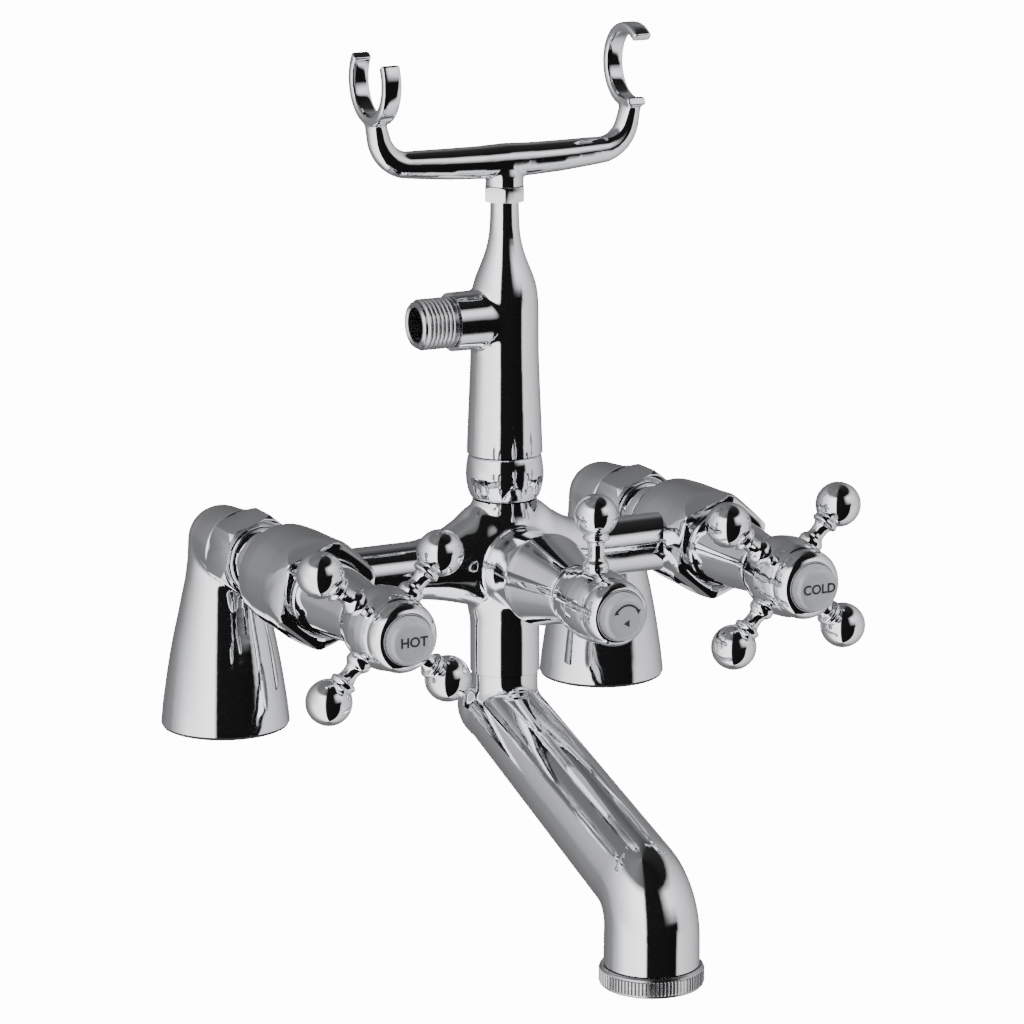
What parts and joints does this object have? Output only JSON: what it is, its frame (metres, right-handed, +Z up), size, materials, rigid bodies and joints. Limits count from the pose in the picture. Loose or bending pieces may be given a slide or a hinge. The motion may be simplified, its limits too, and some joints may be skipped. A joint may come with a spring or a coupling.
{
  "type": "bath mixer faucet",
  "caption": "Deck mounted bath mixer on conical legs with cross handles, a diverter knob, a swivel spout, a threaded hose outlet on a riser and a two hook handset cradle.",
  "frame": {"origin": "on the bath rim, halfway between the centres of the two feet", "axes": "+Z up, -Y towards the bath and the user, +X to the cold side"},
  "size_m": [0.2526, 0.2606, 0.3618],
  "materials": {
    "chrome": "polished chrome plate on brass",
    "satin_chrome": "satin nickel index cap",
    "brass": "turned brass",
    "stainless_steel": "turned stainless steel",
    "black_rubber": "moulded rubber",
    "red_fibre": "pressed fibre washer",
    "white_ceramic": "lapped ceramic",
    "white_nylon": "moulded nylon"
  },
  "bodies": {
    "fixed": {"hot_leg": "chrome", "hot_foot_gasket": "black_rubber", "hot_union_nut": "chrome", "hot_union_washer": "red_fibre", "hot_union_tail": "brass", "hot_headwork": "brass", "hot_fixed_disc": "white_ceramic", "hot_spindle_seal": "black_rubber", "hot_bonnet": "chrome", "cold_leg": "chrome", "cold_foot_gasket": "black_rubber", "cold_union_nut": "chrome", "cold_union_washer": "red_fibre", "cold_union_tail": "brass", "cold_headwork": "brass", "cold_fixed_disc": "white_ceramic", "cold_spindle_seal": "black_rubber", "cold_bonnet": "chrome", "mixer_body": "chrome", "diverter_nose": "chrome", "diverter_cartridge": "brass", "diverter_seal": "black_rubber", "riser_washer": "red_fibre", "riser_collar": "chrome", "riser_column": "chrome", "hose_nipple": "chrome", "cradle_nut": "chrome", "cradle": "chrome"},
    "hot_handle": {"hot_moving_disc": "white_ceramic", "hot_spindle": "brass", "hot_handle_hub": "chrome", "hot_arm_1": "chrome", "hot_arm_2": "chrome", "hot_arm_3": "chrome", "hot_arm_4": "chrome", "hot_handle_screw": "stainless_steel", "hot_index_cap": "satin_chrome"},
    "cold_handle": {"cold_moving_disc": "white_ceramic", "cold_spindle": "brass", "cold_handle_hub": "chrome", "cold_arm_1": "chrome", "cold_arm_2": "chrome", "cold_arm_3": "chrome", "cold_arm_4": "chrome", "cold_handle_screw": "stainless_steel", "cold_index_cap": "satin_chrome"},
    "diverter_knob": {"diverter_spindle": "brass", "diverter_handle_hub": "chrome", "diverter_arm": "chrome", "diverter_handle_screw": "stainless_steel", "diverter_index_cap": "satin_chrome"},
    "spout_group": {"spout": "chrome", "spout_lower_seal": "black_rubber", "spout_upper_seal": "black_rubber", "spout_bearing_ring": "white_nylon", "aerator_housing": "chrome", "aerator_washer": "black_rubber", "aerator_insert": "white_nylon"}
  },
  "joints": [
    {"name": "hot_turn", "type": "hinge", "parent": "fixed", "child": "hot_handle", "pos_m": [-0.09, 0, 0.08055], "axis": [0, 1, 0], "range_deg": [0, 90]},
    {"name": "cold_turn", "type": "hinge", "parent": "fixed", "child": "cold_handle", "pos_m": [0.09, 0, 0.08055], "axis": [0, -1, 0], "range_deg": [0, 90]},
    {"name": "diverter_turn", "type": "hinge", "parent": "fixed", "child": "diverter_knob", "pos_m": [0, 0, 0.08055], "axis": [0, 1, 0], "range_deg": [0, 90]},
    {"name": "spout_swivel", "type": "hinge", "parent": "fixed", "child": "spout_group", "pos_m": [0, -0.08438, 0], "axis": [0, 0, 1], "range_deg": [-60, 60]}
  ]
}
